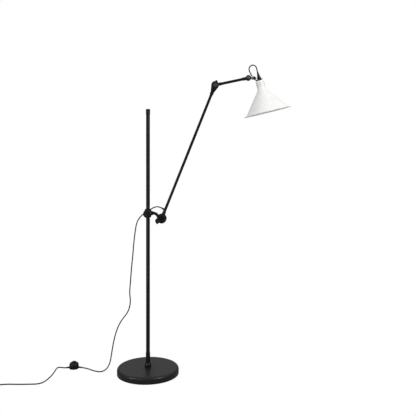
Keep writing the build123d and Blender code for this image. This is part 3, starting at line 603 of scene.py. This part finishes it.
SWITCH = Vector(metres((-358, 66, 0)))
SWITCH_TURN = radians(183)
SWITCH_OUT = Vector((cos(SWITCH_TURN), sin(SWITCH_TURN), 0))
RELIEF_ROOT, RELIEF_TIP = (19, 5.2), (39.6, 3.15)  # out from the switch's middle, and height
RELIEF_LENGTH, RELIEF_RIBS, RELIEF_R = 20.7, 5, 4.8
SPRING_LOW, SPRING_HIGH = 8.7, 17.8  # the wire's middle, at the first and last turn
SPRING_R, WIRE_R, SPRING_TURNS = 4.8, 0.55, 5
TURN_STEPS = 24
PLUG_BODY = (34.6, 35, 13.4)
PLUG_MIDDLE = (0, 37.5, 7.1)
PLUG_WAIST = 31.5  # where the body starts to narrow towards its sleeve


def switch_cover():
    """Upper shell of the foot switch: a seam, a rounded shoulder and a raised lip round the button."""
    shape = turned([
        (9.4, 27.4), (9.7, 29.2), (11.4, 29.7), (13, 28.9), (16.6, 27.6), (19.6, 24.9), (21.4, 20.9),
        (22, 16.5), (22, 12.4), (21.5, 11.8), (21.5, 11.15), (20, 11.15), (20, 16.5), (17, 23), (9.4, 25),
        (9.4, 27.4)], steps=72)
    return finished("switch_cover_shell", put(shape, SWITCH), abs_black, "stand", ["switch_cover"])


def switch_button():
    """The button that the foot presses: dished, with a rounded edge."""
    shape = turned([
        (0, 32.4), (3.5, 32.5), (6.2, 33), (7.4, 33.5), (8.3, 33.3), (8.9, 32.5), (9, 31), (9, 22.6),
        (11, 22.4), (11, 18.6), (2.7, 18.6), (2.7, 21.8), (0, 21.8)], steps=64)
    put(shape, SWITCH)
    return finished("switch_button_dished", shape, abs_black, "switch_button", ["switch_button"])


def switch_reliefs():
    """Two tapered sleeves at the ends of the switch, cut off just above the floor."""
    both = bmesh.new()
    pitch = RELIEF_LENGTH / (RELIEF_RIBS + 1)
    for way in (-1, 1):
        out = SWITCH_OUT * way
        root, tip = (
            SWITCH + out * away * MM + Vector((0, 0, height * MM))
            for away, height in (RELIEF_ROOT, RELIEF_TIP))
        outline = [(2.4, 0), (RELIEF_R, 0)]
        for rib in range(RELIEF_RIBS):
            radius = RELIEF_R - rib * 0.34
            at = 1.5 + rib * pitch
            outline += [(radius, at), (radius, at + pitch * 0.5), (radius - 0.7, at + pitch * 0.62),
                        (radius - 0.75, at + pitch * 0.9)]
        outline += [(3.0, RELIEF_LENGTH - 0.5), (2.85, RELIEF_LENGTH), (2.4, RELIEF_LENGTH)]
        join(both, put(turned(outline, steps=28), root, tip - root))
    bmesh.ops.bisect_plane(
        both, geom=both.verts[:] + both.edges[:] + both.faces[:], plane_co=(0, 0, 0.05 * MM),
        plane_no=(0, 0, -1), clear_outer=True)
    bmesh.ops.holes_fill(both, edges=[e for e in both.edges if e.is_boundary], sides=0)
    return finished("switch_reliefs_ribbed", both, pvc_moulded, "stand", ["switch_reliefs"])


def plug():
    """Flat moulded two-pin plug on the floor: a bevelled body, grip ribs and a ribbed sleeve."""
    at = Vector(metres((tail[-1][0], tail[-1][1], 0)))
    shape = bmesh.new()
    bmesh.ops.create_cube(shape, size=1.0)
    bmesh.ops.scale(shape, vec=metres(PLUG_BODY), verts=shape.verts)
    bmesh.ops.translate(shape, vec=metres(PLUG_MIDDLE), verts=shape.verts)
    bmesh.ops.bisect_plane(
        shape, geom=shape.verts[:] + shape.edges[:] + shape.faces[:],
        plane_co=metres((0, PLUG_WAIST, 0)), plane_no=(0, 1, 0))
    rear = [v for v in shape.verts if v.co.y < 21 * MM]
    middle = Matrix.Translation(metres((0, 0, -PLUG_MIDDLE[2])))
    bmesh.ops.scale(shape, vec=(0.36, 1, 0.86), verts=rear, space=middle)
    corners = [e for e in shape.edges if abs((e.verts[0].co - e.verts[1].co).z) > 8 * MM]
    rounded(shape, corners, 4.5, 5)
    rims = [e for e in shape.edges if e.calc_face_angle(0) > radians(50)]
    rounded(shape, rims, 1.8, 4)
    for rib in range(4):
        bar = bmesh.new()
        bmesh.ops.create_cube(bar, size=1.0)
        bmesh.ops.scale(bar, vec=metres((22, 1.5, 1.4)), verts=bar.verts)
        bmesh.ops.translate(bar, vec=metres((0, 36.5 + 3.6 * rib, 13.8)), verts=bar.verts)
        rounded(bar, bar.edges[:], 0.5, 2)
        join(shape, bar)
    outline = [(2.5, 0), (3.1, 0)]
    for rib in range(5):
        radius = 3.5 + rib * 0.4
        outline += [(radius - 0.6, 1 + rib * 4), (radius, 1.8 + rib * 4), (radius, 3.8 + rib * 4),
                    (radius - 0.4, 4.6 + rib * 4)]
    outline += [(4.8, 22), (0, 22)]
    join(shape, put(turned(outline, steps=28), metres((0, 0, 8.2)), (0, 1, -0.04)))
    bmesh.ops.translate(shape, vec=at, verts=shape.verts)
    return finished("plug_body_moulded", shape, pvc_moulded, "stand", ["plug_body"])


def switch_spring():
    """Coil spring under the button."""
    line = []
    steps = SPRING_TURNS * TURN_STEPS
    for k in range(steps + 1):
        angle = 2 * pi * k / TURN_STEPS
        height = SPRING_LOW + (SPRING_HIGH - SPRING_LOW) * k / steps
        line.append(SWITCH + Vector(metres((SPRING_R * cos(angle), SPRING_R * sin(angle), height))))
    piece = sleeve("switch_spring_coiled", line, zinc, "switch_spring", WIRE_R)
    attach(piece, "stand")
    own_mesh(piece)
    return piece


switch_spring_piece = switch_spring()
switch_cover_piece = switch_cover()
switch_button_piece = switch_button()
switch_reliefs_piece = switch_reliefs()
plug_piece = plug()


# ---------------------------------------------------------------- floor and light

WHITE = "#ffffff"
WALL_LIGHT = 0.06
SILK_LIGHT = 0.8


def paper():
    """The floor: plain white to the camera, and pale grey to the lamp's own reflections."""
    made, tree, shader, _ = start("pale_floor", Roughness=0.9)
    shader.inputs["Base Color"].default_value = linear("#9c9c9c")
    white = add(tree, "ShaderNodeEmission", {"Color": linear(WHITE), "Strength": 1.0})
    seen = add(tree, "ShaderNodeLightPath").outputs["Is Camera Ray"]
    both = add(tree, "ShaderNodeMixShader", {"Fac": seen})
    tree.links.new(shader.outputs["BSDF"], both.inputs[1])
    tree.links.new(white.outputs["Emission"], both.inputs[2])
    tree.links.new(both.outputs["Shader"], tree.nodes["Material Output"].inputs["Surface"])
    return made


floor = bmesh.new()
bmesh.ops.create_grid(floor, x_segments=1, y_segments=1, size=6.0)
floor_mesh = bpy.data.meshes.new("floor")
floor.to_mesh(floor_mesh)
floor.free()
floor_mesh.materials.append(paper())
floor_object = bpy.data.objects.new("floor", floor_mesh)
bpy.context.scene.collection.objects.link(floor_object)


def studio():
    """White behind the lamp; its gloss reflects bright silk overhead and dark walls."""
    world = bpy.data.worlds.new("studio")
    bpy.context.scene.world = world
    world.use_nodes = True
    tree = world.node_tree
    direction = add(tree, "ShaderNodeTexCoord").outputs["Generated"]
    height = add(tree, "ShaderNodeSeparateXYZ", {"Vector": direction}).outputs["Z"]
    silk = add(tree, "ShaderNodeMapRange", {
        "Value": height, "From Min": 0.12, "From Max": 0.55, "To Min": WALL_LIGHT, "To Max": SILK_LIGHT})
    white = linear(WHITE)
    around = add(
        tree, "ShaderNodeBackground", {"Color": white, "Strength": silk.outputs["Result"]})
    behind = add(tree, "ShaderNodeBackground", {"Color": white, "Strength": 1.0})
    seen = add(tree, "ShaderNodeLightPath").outputs["Is Camera Ray"]
    both = add(tree, "ShaderNodeMixShader", {"Fac": seen})
    tree.links.new(around.outputs["Background"], both.inputs[1])
    tree.links.new(behind.outputs["Background"], both.inputs[2])
    tree.links.new(both.outputs["Shader"], tree.nodes["World Output"].inputs["Surface"])


studio()
bpy.context.scene.view_settings.view_transform = "Standard"


def softbox(name, place, aim, size, power):
    """A rectangular lamp at a place, turned to a point."""
    light = bpy.data.lights.new(name, "AREA")
    light.shape = "RECTANGLE"
    light.size = size[0]
    light.size_y = size[1]
    light.energy = power
    made = bpy.data.objects.new(name, light)
    made.location = place
    made.rotation_euler = (Vector(aim) - Vector(place)).to_track_quat("-Z", "Y").to_euler()
    bpy.context.scene.collection.objects.link(made)


softbox("tall_strip_left", (-2.3, -1.5, 1.1), (0.0, 0, 0.8), (0.5, 2.4), 30)
softbox("front_fill", (2.7, -2.2, 1.9), (0.5, 0, 1.2), (1.2, 1.2), 62)
softbox("low_strip_front", (-0.75, -1.7, 0.42), (-0.03, -0.1, 0.02), (0.5, 0.12), 4.0)
